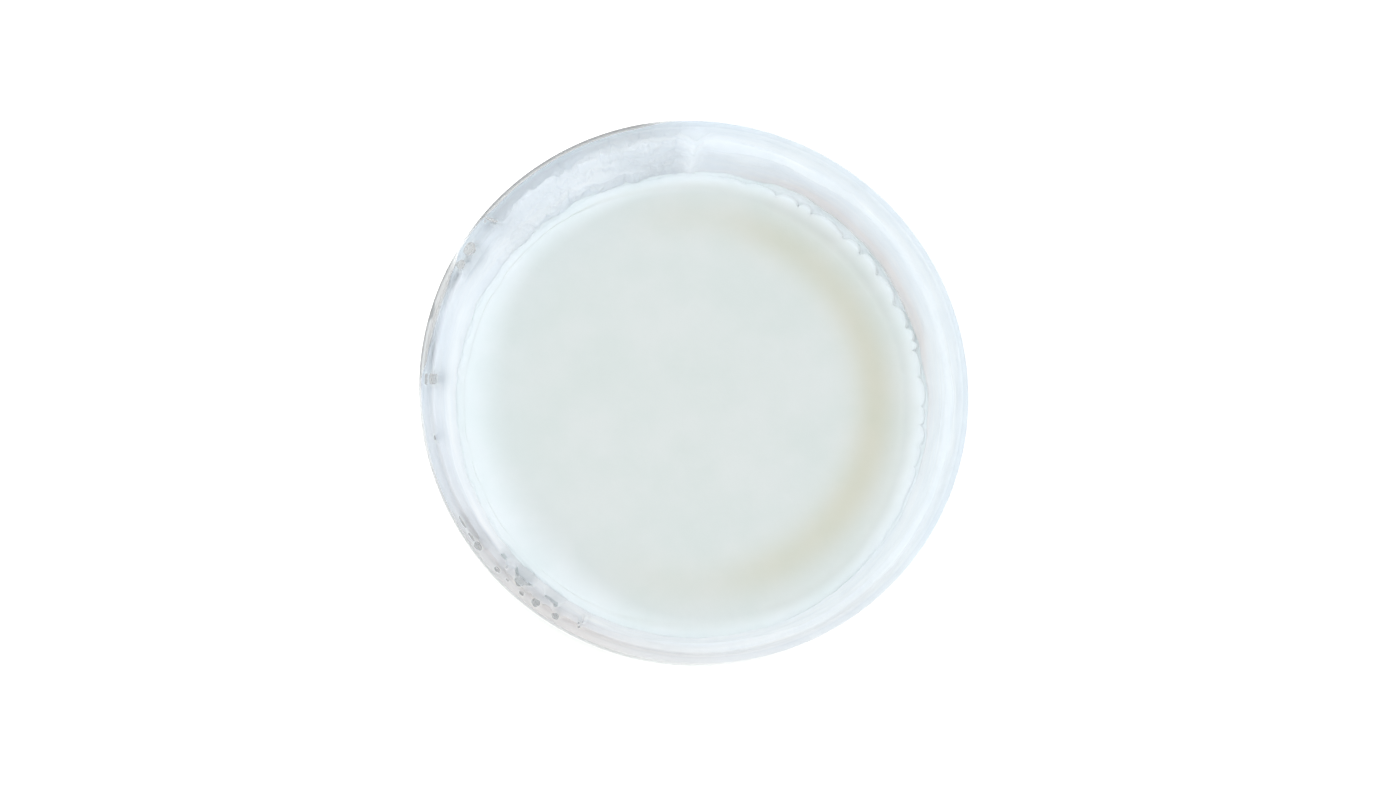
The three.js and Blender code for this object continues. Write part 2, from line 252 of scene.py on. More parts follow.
# The share of the light that goes through the cream: at the wall, at the ridge, at the film's foot, higher up
# the film, more at some angles, at the drip and at a ripple, and beside a bare patch
GLOW = 0.55
RIDGE_GLOW = 0.15
FOOT_GLOW = 0.5
FILM_GLOW = 0.6
SIDE_GLOW = ((0, 0.0), (65, 0.05), (92, 0.2), (130, 0.32), (150, 0.26), (225, 0.2), (262, 0.0))
DRIP_GLOW = 0.15
RIPPLE_GLOW = 0.2
PATCH_GLOW = 0.55
WALL_FOOT = 20.0  # below this height all of the filling counts as being at the wall

# How bare the lip's plastic looks at each angle, its grey being painted shade for the darker surroundings
# seen through it
LIP_SHOWS = (
    (0, 0.25), (60, 0.3), (94, 0.45), (104, 1.0), (142, 1.0), (150, 0.5), (156, 1.0), (176, 1.0),
    (184, 0.6), (206, 0.75), (250, 0.65), (275, 0.3),
)
LIP_BARE_FADE = 0.2
LIP_LOW_FADE = 0.3
NO_COVER = 0.3  # where the smear covers less of the lip than this, the wall over the film is bare
BARE_FROM = 55.0  # the tub is never bare below this height

# Unevenness: cells round the tub, height of a cell in millimetres and a seed
COARSE_LUMPS = (24, 6.0, 4)
FINE_LUMPS = (60, 3.2, 3)
NOTCHES = (72, 9.0, 1)
CREST_WAVES = (48, 9.0, 2)
CREVICE_WAVES = (40, 9.0, 6)
EDGE_WAVES = (60, 9.0, 5)
SWELL_WAVES = (9, 12.0, 7)
RIPPLE_WAVES = (30, 9.0, 11)

# Bare patches in the film: angle, depth, size round the tub, size towards its middle as the camera
# sees it, lean and how square the outline is
PATCHES = (
    (179.6, 0.3, 2.3, 0.6, 0, 0.4),
    (178.4, 6.0, 2.2, 1.6, 0, 0.4),
    (149.0, 3.7, 3.0, 2.3, 0, 1),
    (152.9, 3.8, 2.1, 1.7, 0, 1),
    (141.1, 3.4, 0.65, 2.8, 20, 1),
    (142.9, 0.3, 0.5, 0.5, 0, 1),
    (191.4, 5.8, 1.0, 0.4, 0, 1),
    (210.9, 0.3, 2.9, 0.45, 0, 1),
    (216.8, 0.3, 2.1, 1.3, 0, 1),
    (214.4, 1.1, 2.1, 0.5, 0, 1),
    (220.8, 19.3, 1.5, 1.15, 0, 0.8),
    (223.6, 9.8, 0.6, 0.6, 0, 1),
    (223.1, 0.3, 1.5, 0.85, 0, 1),
    (226.1, 0.3, 0.8, 0.4, 0, 1),
    (227.9, 7.9, 2.3, 1.9, 0, 1.1),
    (225.9, 16.3, 2.9, 0.75, -41, 1),
    (229.1, 13.6, 2.7, 0.65, 29, 1),
    (230.1, 0.3, 1.2, 0.8, 0, 1),
    (233.5, 5.5, 1.9, 1.5, 0, 1),
    (235.6, 19.5, 3.2, 0.7, 0, 0.8),
    (237.2, 16.8, 0.9, 1.2, 0, 1),
    (238.5, 5.7, 1.7, 1.2, 0, 1),
    (243.6, 6.7, 0.5, 0.5, 0, 1),
    (244.4, 11.9, 0.45, 0.4, 0, 1),
    (244.0, 5.9, 0.5, 0.45, 0, 1),
)
PATCH_SHOWS = 0.75  # how bare the plastic in a patch looks, its grey being painted shade for the dark seen through the hole
# Around a patch: the margins round the tub and towards its middle, with the distance over which each fades
BARE_MARGIN, BARE_FADE = (0.35, 0.15), 0.3
THIN_MARGIN, THIN_FADE = (0.3, 0.15), 0.6
GREY_MARGIN, GREY_FADE = (0.15, 0.05), 0.7
THIN_SHARE = 0.24  # how thin the film gets beside a patch
KEPT_FOOT, KEPT_FOOT_FADE = 1.0, 2.0  # how far up the film's foot stays thick, and how far that fades
RIM_THICKNESS, RIM_AWAY, RIM_SPREAD = 0.16, 0.25, 0.18  # the raised rim of a patch
PATCH_WOBBLES = ((0.06, 3, 1.7), (0.04, 5, 2.9))  # size, bumps round the outline and its turn
PATCH_SIDES = 36
PATCH_REACH = 13.0  # how far a patch's cut goes to either side of the wall along the camera's line
EYE = (-43.61, -69.76, 475.09)  # where the camera stands, and where it looks
AIM = (0.167, -2.972, 74.0)

# The meshes: degrees between columns of the smear, and where they are finer
SMEAR_STEP = 0.8
SMEAR_FINE_STEP = 0.38
SMEAR_FINE_FROM = 84.0
SMEAR_FINE_TO = 262.0
SMEAR_ROWS = 66
SMEAR_FOOT = 1.6  # how deep the smear is buried in the filling
# The smear's edge on the lip: share of its cover, reach outward, share of its thickness and lift
LIP_EDGE = (
    (0, GAP + SINK, 0, 0), (0.5, GAP, 0, 0), (1, 0, 0, 0), (1, 0.12, 0.25, 0), (1, 0, 0.8, 0),
    (0.6, 0, 1, 0.02), (0, -0.1, 1, 0.04), (0, -0.7 * SEAT_FILM, 0.7, 0), (0, -SEAT_FILM, 0, 0),
)
# The filling: finer columns where the ridge has its lobes, from one angle to another
LOBES_FROM, LOBES_TO, LOBES_STEP = -24.0, 84.0, 0.6
FILL_WALL_ROWS = (20.0, 38.0, 52.0)
UNDER_CREVICE, UNDER_ROUND = 0.6, 0.4
CREVICE_FLOOR = 0.3
CREVICE_POINTS = ((1, 0.3), (0.7, 0.06), (0.3, 0.04), (0, 0.45))  # shares out from the ridge and up its side
RIDGE_TOP_SINK = 0.02
RIDGE_POINTS = ((0.35, 0.66), (0.68, 0.2))  # shares inward and up the ridge's inner slope
MIDDLE_RINGS = (
    1, 0.97, 0.94, 0.91, 0.88, 0.85, 0.82, 0.79, 0.76, 0.71, 0.66, 0.58, 0.5, 0.41, 0.32, 0.24, 0.16, 0.08,
)
# The tub: the longest step along its section, and the finer one near its top
TUB_STEP, TUB_FINE_STEP, TUB_FINE_FROM = 4.0, 0.6, 58.0
SHARP_ANGLE = 50.0

# The materials: clouds and streaks of tone, as places on the noise and colours, and the bumps, as the noise's
# scale and its height in metres
FILLING_CLOUD = ((0.35, (0.955, 0.97, 0.965)), (0.65, (1.0, 0.995, 1.0)))
FILM_CLOUD = ((0.35, (0.975, 0.98, 0.985)), (0.65, (1.0, 1.0, 1.0)))
FILM_STREAK = ((0.35, (0.97, 0.98, 0.995)), (0.65, (1.0, 1.0, 1.0)))
FILLING_CLOUD_SCALE, FILM_CLOUD_SCALE = 90.0, 160.0
STREAK_SQUEEZE = (60.0, 60.0, 1100.0)
FILLING_GRAIN, FILLING_WAVES = (900.0, 0.00004), (220.0, 0.00012)
FILM_GRAIN, FILM_WAVES = (1200.0, 0.00004), (300.0, 0.00015)
FROTH = (520.0, 0.0024)
FILLING_ROUGHNESS, FILM_ROUGHNESS, PLASTIC_ROUGHNESS = 0.55, 0.26, 0.12
CLEARNESS = (0.99, 0.99, 0.99, 1.0)
MILKINESS = (0.05, 0.62)  # how milky the plastic is where frosting backs it, and where it is bare, the bare milk being grey painted shade
PLASTIC_GLOSS = (0.04, 0.9)  # how much it reflects head on, and at a slant
SLANT_POWER = 5.0

# The stage, in metres
FLOOR_HALF = 2.5
SKY = (0.80, 0.81, 0.79, 1.0)
WINDOW_SIZE, WINDOW_POWER, WINDOW_COLOUR = 0.5, 2.2, (0.7, 0.9, 1.0)
WINDOW_UP, WINDOW_ROUND, WINDOW_AWAY = 76.0, 175.0, 0.9
WINDOW_AIM = (0, 0, 0.06)
CEILING_STRENGTH, CEILING_SPREAD = 3.2, 15.0
LENS, SENSOR, CLIP_START = 50.0, 36.0, 0.01


def ease(t):
    return t * t * (3 - 2 * t)


def clamp(t):
    return np.clip(t, 0.0, 1.0)


def mix(a, b, t):
    return a + (b - a) * t


def around(stops, angle):
    """A size at each angle, eased between the stops on either side of it."""
    at = np.array([a for a, _ in stops] + [360.0])
    size = np.array([s for _, s in stops] + [stops[0][1]], float)
    turn = np.mod(angle, 360.0)
    index = np.clip(np.searchsorted(at, turn, side="right") - 1, 0, len(stops) - 1)
    return mix(size[index], size[index + 1], ease((turn - at[index]) / (at[index + 1] - at[index])))


def scatter(column, row, seed):
    """A repeatable random number from -1 to 1 for a cell of a grid."""
    wave = np.sin(column * 127.1 + row * 311.7 + seed * 74.7) * 43758.5453
    return 2 * (wave - np.floor(wave)) - 1


def unevenness(angle, height, waves):
    """Smooth unevenness from -1 to 1 round the tub and up its wall, with whole cells round the circle."""
    cells, cell_height, seed = waves
    across = np.mod(angle, 360.0) / 360.0 * cells
    up = height / cell_height
    column, row = np.floor(across), np.floor(up)
    s, t = ease(across - column), ease(up - row)
    near, far = np.mod(column, cells), np.mod(column + 1, cells)
    low = mix(scatter(near, row, seed), scatter(far, row, seed), s)
    high = mix(scatter(near, row + 1, seed), scatter(far, row + 1, seed), s)
    return mix(low, high, t)


def creased(angle, height, waves):
    """Round bumps with sharp creases between them, from 0 in a crease to 1."""
    return np.abs(unevenness(angle, height, waves)) ** 0.7


def lobes(angle):
    """How far the notches between the lobes cut into the ridge at each angle, in millimetres below 0."""
    edges = np.sort(np.array(NOTCH_ANGLES))
    edges = np.concatenate([[edges[-1] - 360.0], edges, [edges[0] + 360.0]])
    turn = np.mod(angle, 360.0)
    index = np.clip(np.searchsorted(edges, turn, side="right") - 1, 0, len(edges) - 2)
    across = (turn - edges[index]) / (edges[index + 1] - edges[index])
    dome = np.sqrt(clamp(1 - (2 * across - 1) ** 2))
    return around(NOTCH_DEPTH, angle) * (dome - 1)


def rounded(points, rounds):
    """The same open line with its corners cut off that many times, along the last but one axis."""
    for _ in range(rounds):
        a, b = points[..., :-1, :], points[..., 1:, :]
        cut = np.stack([mix(a, b, 0.25), mix(a, b, 0.75)], axis=-2)
        cut = cut.reshape(*points.shape[:-2], -1, points.shape[-1])
        points = np.concatenate([points[..., :1, :], cut[..., 1:-1, :], points[..., -1:, :]], axis=-2)
    return points


def cavity():
    """The inside of the tub from the middle of its floor up to the lip, as radius and height."""
    seat_top = LIP_RADIUS - LIP_WIDTH
    seat_low = seat_top - SEAT_LEAN
    wall_top = seat_low - LEDGE_WIDTH
    wall_low = SEAT_LOW - LEDGE_DROP
    corner = FLOOR_TOP + FLOOR_ROUND
    lean = (wall_top - FLOOR_RADIUS) / (wall_low - FLOOR_TOP)
    points = [(0.0, FLOOR_TOP), (FLOOR_RADIUS - FLOOR_ROUND, FLOOR_TOP)]
    for turn in (30, 60):
        a = math.radians(turn)
        edge = FLOOR_RADIUS + lean * FLOOR_ROUND
        points.append((
            mix(FLOOR_RADIUS - FLOOR_ROUND, edge, math.sin(a)),
            corner - FLOOR_ROUND * math.cos(a),
        ))
    points.append((FLOOR_RADIUS + lean * FLOOR_ROUND, corner))
    points.append((wall_top, wall_low))
    points.append((seat_low, SEAT_LOW))
    points.append((seat_top, TUB_TOP - LIP_ROUND))
    return points


def wall_radius(z, inset=GAP):
    """The radius of the tub's inside at each height, moved in and up by the inset."""
    line = np.array(cavity())[2:]
    return np.interp(z, line[:, 1] + inset, line[:, 0] - inset)


def drip_share(angle):
    """How much of the drip's thickness there is at each angle, from 0 to 1."""
    return np.exp(-(((angle - DRIP_ANGLE) / DRIP_SPREAD) ** 2))


class Forms:
    """The frosting's sizes at each of some angles, as the frame has them."""

    def __init__(self, angle):
        self.angle = angle
        self.valley = around(VALLEY_RADIUS, angle)
        ragged = around(RAGGEDNESS, angle) * unevenness(angle, 0, NOTCHES)
        self.crest = around(CREST_RADIUS, angle) + CREST_RAG * ragged + CREST_OUT
        fine = around(FINE_NOTCH, angle) * unevenness(angle, 0, FINE_NOTCHES)
        self.edge = self.crest + lobes(angle) + fine
        self.low = self.surface(self.valley)
        self.rise = around(CREST_RISE, angle) * (1 + RISE_WAVER * unevenness(angle, 0, CREST_WAVES))
        depth = around(CREVICE_DEPTH, angle) * (1 + CREVICE_WAVER * unevenness(angle, 0, CREVICE_WAVES))
        self.top = self.low + self.rise
        self.bottom = self.top - depth
        foot = self.film_radius(self.bottom)
        self.gutter = np.maximum(foot - EDGE_ROUND, self.crest + 2 * THINNEST_FILM)
        drop = around(FILM_DROP, angle) * (1 + FILM_TOP_WAVER * unevenness(angle, 0, EDGE_WAVES))
        self.film_top = TUB_TOP + GAP - drop

    def surface(self, r):
        """The height of the flat middle and of its falling edge, out to the valley."""
        fall = ease(clamp((r - FLAT_RADIUS) / (self.valley - FLAT_RADIUS)))
        swell = SWELL * clamp(r / FLAT_RADIUS) * unevenness(self.angle, r, SWELL_WAVES)
        return TOP - HEADSPACE - around(VALLEY_DROP, self.angle) * fall + swell

    def thickness(self, z):
        """How thick the film on the wall is."""
        ledge = SEAT_LOW - LEDGE_DROP
        at_ledge = around(LEDGE_FILM, self.angle)
        up = clamp((z - self.bottom) / (ledge - self.bottom))
        on_wall = mix(around(FOOT_FILM, self.angle), at_ledge, up)
        smooth = np.where(z > ledge, mix(SEAT_FILM, at_ledge, SEAT_BLEND), on_wall)
        coarse = COARSE_SHARE * unevenness(self.angle, z, COARSE_LUMPS)
        lumps = unevenness(self.angle, z, FINE_LUMPS) + coarse
        drip = DRIP_THICKNESS * drip_share(self.angle)
        fold = around(FOLD, self.angle) * (1 + FOLD_WAVER * unevenness(self.angle, 0, FOLD_WAVES))
        fold = fold * np.exp(-np.maximum(z - self.bottom, 0.0) / FOLD_HEIGHT)
        fine_bubbles = FOAM_FINE * creased(self.angle, z, FOAM_FINE_CELLS)
        foam = around(FOAM, self.angle) * (creased(self.angle, z, FOAM_CELLS) - FOAM_LEVEL + fine_bubbles)
        rough = around(ROUGHNESS, self.angle) * lumps
        return np.maximum(THINNEST_FILM, smooth + drip + fold + rough + foam + self.ripples(z))

    def ripples(self, z):
        """The thickness of the thin ripples that run round the wall."""
        total = np.zeros(np.broadcast(self.angle, z).shape)
        for middle, reach, height, size, width in RIPPLES:
            along = (np.mod(self.angle - middle + 180.0, 360.0) - 180.0) / reach
            wander = RIPPLE_WANDER * unevenness(self.angle, height, RIPPLE_WAVES)
            fade = ease(clamp(RIPPLE_FADE * (1 - np.abs(along))))
            total += size * fade * np.exp(-(((z - height - wander) / width) ** 2))
        return total

    def film_radius(self, z):
        return wall_radius(z) - self.thickness(z)


def ring_mesh(name, angles, sections, looped):
    """A mesh of sections turned round +Z. A section either starts and ends on the axis or is a loop."""
    count, rows = sections.shape[:2]
    radians = np.radians(angles)[:, None]
    r, z = sections[..., 0], sections[..., 1]
    verts = np.stack([r * np.cos(radians), r * np.sin(radians), z], axis=-1) * MM
    poles = []
    if not looped:
        poles = [verts[0, 0], verts[0, -1]]
        verts = verts[:, 1:-1]
        rows -= 2
    verts = verts.reshape(-1, 3)
    index = np.arange(count * rows).reshape(count, rows)
    near, far = index, np.roll(index, -1, axis=0)
    last = rows if looped else rows - 1
    up = np.roll(index, -1, axis=1)[:, :last]
    far_up = np.roll(far, -1, axis=1)[:, :last]
    quads = np.stack([near[:, :last], far[:, :last], far_up, up], axis=-1).reshape(-1, 4)
    faces = quads.tolist()
    if not looped:
        low, high = count * rows, count * rows + 1
        verts = np.concatenate([verts, np.array(poles)])
        faces += [(low, int(far[i, 0]), int(near[i, 0])) for i in range(count)]
        faces += [(high, int(near[i, -1]), int(far[i, -1])) for i in range(count)]
    mesh = bpy.data.meshes.new(name)
    mesh.from_pydata(verts.tolist(), [], faces)
    mesh.validate()
    mesh.update()
    return mesh


def add_piece(name, mesh, material, node):
    """Puts a finished mesh in the scene as a piece that stands for a node of the frame."""
    piece = bpy.data.objects.new(name, mesh)
    bpy.context.scene.collection.objects.link(piece)
    mesh.materials.clear()
    mesh.materials.append(material)
    mesh.shade_smooth()
    mesh.set_sharp_from_angle(angle=math.radians(SHARP_ANGLE))
    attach(piece, "root")
    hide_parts(node)
    return piece


def store(mesh, name, values):
    """Keeps one number for each point of a mesh, for its material to read."""
    attribute = mesh.attributes.new(name, "FLOAT", "POINT")
    attribute.data.foreach_set("value", np.asarray(values, np.float32))


def polar(mesh):
    """The angle, radius and height of each point of a mesh, in degrees and millimetres."""
    co = np.empty(len(mesh.vertices) * 3)
    mesh.vertices.foreach_get("co", co)
    x, y, z = co.reshape(-1, 3).T / MM
    return np.mod(np.degrees(np.arctan2(y, x)), 360.0), np.hypot(x, y), z


def tub_section():
    """The tub's section from under the middle of its floor, round its lip and back down its inside."""
    inside = cavity()
    outside = [(r + WALL, z - LEDGE_DROP) for r, z in inside[4:-1]]
    seat_top = LIP_RADIUS - LIP_WIDTH
    lip_low = TUB_TOP - LIP_DROP
    heel = [(mix(FOOT_OUTER, outside[0][0], out), HEEL_HEIGHT * up) for out, up in HEEL_ROUND]
    points = [
        (0.0, FOOT_RISE),
        (FOOT_INNER - FOOT_RISE, FOOT_RISE),
        (FOOT_INNER, 0.0),
        (FOOT_OUTER, 0.0),
        *heel,
        *outside,
        (seat_top + WALL - SEAT_LEAN / 3, lip_low),
        (LIP_RADIUS - LIP_ROUND, lip_low),
        (LIP_RADIUS, lip_low + LIP_ROUND),
        (LIP_RADIUS, TUB_TOP - LIP_ROUND),
        (LIP_RADIUS - LIP_ROUND, TUB_TOP),
        (seat_top + LIP_ROUND, TUB_TOP),
        *inside[::-1],
    ]
    return np.array(points)


def spread(points, fine, coarse, from_height):
    """The same line with points added: in fine steps above a height and in coarse steps below it."""
    result = [points[0]]
    for a, b in zip(points[:-1], points[1:]):
        longest = fine if max(a[1], b[1]) > from_height else coarse
        steps = max(1, math.ceil(np.hypot(*(b - a)) / longest))
        result += [mix(a, b, (i + 1) / steps) for i in range(steps)]
    return np.array(result)


def fill_sections(angles):
    """The filling's section at each angle: floor, wall, crevice, ridge and flat middle."""
    f = Forms(angles)
    count = len(angles)
    points = []

    def add(r, z):
        place = [np.broadcast_to(np.asarray(value, float), (count,)) for value in (r, z)]
        points.append(np.stack(place, axis=-1))

    for i, (r, z) in enumerate(cavity()[:5]):
        add(r + (SINK if r else 0), z - (SINK if i < 2 else 0))
    for z in FILL_WALL_ROWS:
        add(wall_radius(z, -SINK), z)
    low = f.bottom - UNDER_CREVICE
    add(wall_radius(low - UNDER_ROUND, -SINK), low - UNDER_ROUND)
    add(wall_radius(low, -SINK) - UNDER_CREVICE, low)
    outer_rows = len(points)
    add(mix(f.gutter, wall_radius(low), 0.5), f.bottom - CREVICE_FLOOR)
    for out, up in CREVICE_POINTS:
        add(mix(f.edge, f.gutter, out), mix(f.bottom, f.top, up))
    add(f.edge - EDGE_ROUND, mix(f.bottom, f.top, 0.85))
    add(f.edge - 5 * EDGE_ROUND, f.top)
    add(f.crest - SHOULDER, f.top - RIDGE_TOP_SINK)
    for inward, up in RIDGE_POINTS:
        add(mix(f.crest - SHOULDER, f.valley, inward), f.low + up * f.rise)
    for part in MIDDLE_RINGS:
        add(f.valley * part, f.surface(f.valley * part))
    add(0.0, f.surface(np.zeros(count)).mean())
    stacked = np.stack(points, axis=1)
    top = rounded(stacked[:, outer_rows:], 2)
    r = top[..., 0]
    column = angles[:, None]
    on_ridge = r < f.edge[:, None] + EDGE_ROUND
    slope = clamp((r - f.valley[:, None]) / (f.crest - f.valley)[:, None]) * on_ridge
    top[..., 1] += around(CRUMBS, column) * slope * unevenness(column, r, CRUMB_CELLS)
    return np.concatenate([stacked[:, :outer_rows], top], axis=1)


def fill_angles(columns):
    """Even angles, with finer steps where the ridge has its lobes."""
    step = 360.0 / columns
    fine = np.arange(LOBES_FROM, LOBES_TO, step * LOBES_STEP)
    return np.concatenate([fine, np.arange(LOBES_TO, LOBES_FROM + 360.0, step)])


def smear_angles():
    """Angles of the smear's columns, closer together where it has its foam and its bare patches."""
    fine = np.arange(SMEAR_FINE_FROM, SMEAR_FINE_TO, SMEAR_FINE_STEP)
    rest = np.arange(SMEAR_FINE_TO, SMEAR_FINE_FROM + 360.0, SMEAR_STEP)
    return np.concatenate([fine, rest])


def sight(patch):
    """A patch's middle on the wall, and the ways round the tub, towards its middle and to the camera."""
    angle, depth = patch[:2]
    a = math.radians(angle)
    z = TOP - depth
    r = float(wall_radius(z, 0.0))
    middle = np.array([r * math.cos(a), r * math.sin(a), z])
    view = np.array(EYE) - middle
    view /= np.linalg.norm(view)
    along = np.array([-math.sin(a), math.cos(a), 0.0])
    along -= along.dot(view) * view
    along /= np.linalg.norm(along)
    return middle, along, np.cross(view, along), view


def outside_patch(angle, r, z, patch, margin):
    """How far a place is outside a bare patch as the camera sees it, as a share of the patch's size.

    The margin widens the patch round the tub and towards its middle.
    """
    middle, along, inward, view = sight(patch)
    _, _, width, height, lean, _ = patch
    a = np.radians(angle)
    place = np.stack(np.broadcast_arrays(r * np.cos(a), r * np.sin(a), z), axis=-1) - middle
    x, y = place @ along, place @ inward
    c, s = math.cos(math.radians(lean)), math.sin(math.radians(lean))
    u = (c * x + s * y) / (width / 2 + margin[0])
    v = (c * y - s * x) / (height / 2 + margin[1])
    return np.where(np.abs(place @ view) < PATCH_REACH, np.hypot(u, v) - 1, 9.0)


def smear_sections(angles):
    """The smear's section at each angle: up the wall, over the lip and down the film to its buried foot."""
    f = Forms(angles[:, None])
    shape = np.ones_like(f.angle)
    edge = wall_radius(f.film_top)
    cover = around(LIP_COVER, f.angle)
    thick = TOP - TUB_TOP
    foot = f.bottom - SMEAR_FOOT
    points = []

    def add(r, z):
        points.append(np.concatenate([r * shape, z * shape], axis=1)[:, None, :])

    for share in (0.0, 0.33, 0.66, 1.0):
        z = mix(foot, SEAT_LOW - LEDGE_DROP, share)
        add(wall_radius(z, -SINK), z)
    for share in (0.0, 0.5, 1.0):
        z = mix(SEAT_LOW, np.minimum(f.film_top - 2 * EDGE_ROUND, TUB_TOP - LIP_ROUND), share)
        add(wall_radius(z, -SINK), z)
    outer = np.concatenate(points, axis=1)
    points.clear()
    level = np.minimum(f.film_top - GAP, TUB_TOP) - SINK
    for share, reach, up, lift in LIP_EDGE:
        add(edge + share * cover + reach, level + up * thick + lift)
    cap = rounded(np.concatenate(points, axis=1), 2)
    shares = np.linspace(0.0, 1.0, SMEAR_ROWS + 1)[None, 1:]
    z = mix(level - GAP, foot, shares)
    film = Forms(np.broadcast_to(f.angle, z.shape))
    thickness = film.thickness(z)
    in_foot = 1 - ease(clamp((z - f.bottom - KEPT_FOOT) / KEPT_FOOT_FADE))
    for patch in PATCHES:
        away = outside_patch(film.angle, wall_radius(z), z, patch, THIN_MARGIN)
        thin = mix(THIN_SHARE, 1.0, np.maximum(ease(clamp(away / THIN_FADE)), in_foot))
        rim = RIM_THICKNESS * np.exp(-(((away - RIM_AWAY) / RIM_SPREAD) ** 2))
        thickness = thickness * thin + rim
    r = wall_radius(z) - thickness
    r = np.maximum(r, film.gutter - FOLD_SLOPE * np.maximum(z - film.top, 0.0))
    face = np.stack([r, z], axis=-1)
    return np.concatenate([outer, cap, face], axis=1)


def patch_plug(patch, number):
    """A plug with a bare patch's outline, along the camera's line through it."""
    middle, along, inward, view = sight(patch)
    _, _, width, height, lean, power = patch
    turns = np.linspace(0, 2 * np.pi, PATCH_SIDES, endpoint=False)
    wobble = 1 + sum(size * np.sin(turns * bumps + number * shift) for size, bumps, shift in PATCH_WOBBLES)
    x = width / 2 * np.sign(np.cos(turns)) * np.abs(np.cos(turns)) ** power * wobble
    y = height / 2 * np.sign(np.sin(turns)) * np.abs(np.sin(turns)) ** power * wobble
    c, s = math.cos(math.radians(lean)), math.sin(math.radians(lean))
    x, y = c * x - s * y, s * x + c * y
    outline = middle + x[:, None] * along + y[:, None] * inward
    rings = [outline - PATCH_REACH * view, outline + PATCH_REACH * view]
    verts = np.concatenate(rings) * MM
    n = PATCH_SIDES
    faces = [(i, (i + 1) % n, n + (i + 1) % n, n + i) for i in range(n)]
    faces += [tuple(range(n))[::-1], tuple(range(n, 2 * n))]
    mesh = bpy.data.meshes.new("plug")
    mesh.from_pydata(verts.tolist(), [], faces)
    mesh.update()
    return bpy.data.objects.new(f"plug_{number}", mesh)


def cut_patches(piece):
    """Cuts the bare patches out of the smear."""
    plugs = bpy.data.collections.new("plugs")
    bpy.context.scene.collection.children.link(plugs)
    for number, patch in enumerate(PATCHES):
        plugs.objects.link(patch_plug(patch, number))
    cut = piece.modifiers.new("bare_patches", "BOOLEAN")
    cut.operation = "DIFFERENCE"
    cut.operand_type = "COLLECTION"
    cut.collection = plugs
    cut.solver = "MANIFOLD"
    before = len(piece.data.polygons)
    evaluated = piece.evaluated_get(bpy.context.evaluated_depsgraph_get())
    mesh = bpy.data.meshes.new_from_object(evaluated)
    piece.modifiers.clear()
    piece.data = mesh
    for plug in list(plugs.objects):
        bpy.data.objects.remove(plug)
    bpy.data.collections.remove(plugs)
    if len(mesh.polygons) == before:
        raise RuntimeError("the bare patches weren't cut")
    return mesh


def nodes_of(name):
    """A new material with an empty node tree, its output and its two lists."""
    material = bpy.data.materials.new(name)
    material.use_nodes = True
    tree = material.node_tree
    tree.nodes.clear()
    output = tree.nodes.new("ShaderNodeOutputMaterial")
    return material, tree.nodes, tree.links, output


def noise(nodes, links, scale, detail=2.0, roughness=0.5, squeeze=(1.0, 1.0, 1.0)):
    """Noise laid out by place on the object, in metres, squeezed along each axis."""
    place = nodes.new("ShaderNodeTexCoord")
    mapping = nodes.new("ShaderNodeMapping")
    mapping.inputs["Scale"].default_value = squeeze
    texture = nodes.new("ShaderNodeTexNoise")
    texture.inputs["Scale"].default_value = scale
    texture.inputs["Detail"].default_value = detail
    texture.inputs["Roughness"].default_value = roughness
    links.new(place.outputs["Object"], mapping.inputs["Vector"])
    links.new(mapping.outputs["Vector"], texture.inputs["Vector"])
    return texture.outputs["Fac"]


def attribute(nodes, name):
    """A number kept for each point of the mesh."""
    node = nodes.new("ShaderNodeAttribute")
    node.attribute_name = name
    return node.outputs["Fac"]


def multiply(nodes, links, one, other):
    """One colour times another."""
    node = nodes.new("ShaderNodeMix")
    node.data_type = "RGBA"
    node.blend_type = "MULTIPLY"
    node.inputs["Factor"].default_value = 1.0
    links.new(one, node.inputs["A"])
    links.new(other, node.inputs["B"])
    return node.outputs["Result"]


def shine_through(nodes, links, cream, colour, output):
    """Joins the cream to the output, with light coming through it where it is thin."""
    through = nodes.new("ShaderNodeBsdfTranslucent")
    links.new(colour, through.inputs["Color"])
    blend = nodes.new("ShaderNodeMixShader")
    links.new(attribute(nodes, "thin"), blend.inputs["Fac"])
    links.new(cream.outputs["BSDF"], blend.inputs[1])
    links.new(through.outputs["BSDF"], blend.inputs[2])
    links.new(blend.outputs["Shader"], output.inputs["Surface"])


def ramp(nodes, links, value, stops):
    """Colours along a value."""
    node = nodes.new("ShaderNodeValToRGB")
    elements = node.color_ramp.elements
    while len(elements) < len(stops):
        elements.new(0.5)
    for element, (place, colour) in zip(elements, stops):
        element.position = place
        element.color = (*colour, 1.0)
    links.new(value, node.inputs["Fac"])
    return node.outputs["Color"]


def bump(nodes, links, height, distance, under=None):
    """A surface raised by a height, on top of another bump where one is given."""
    node = nodes.new("ShaderNodeBump")
    node.inputs["Strength"].default_value = 1.0
    node.inputs["Distance"].default_value = distance
    links.new(height, node.inputs["Height"])
    if under is not None:
        links.new(under, node.inputs["Normal"])
    return node.outputs["Normal"]


def between(nodes, links, value, ends):
    """A value from 0 to 1 laid out between two ends."""
    node = nodes.new("ShaderNodeMapRange")
    node.inputs["To Min"].default_value, node.inputs["To Max"].default_value = ends
    links.new(value, node.inputs["Value"])
    return node.outputs["Result"]


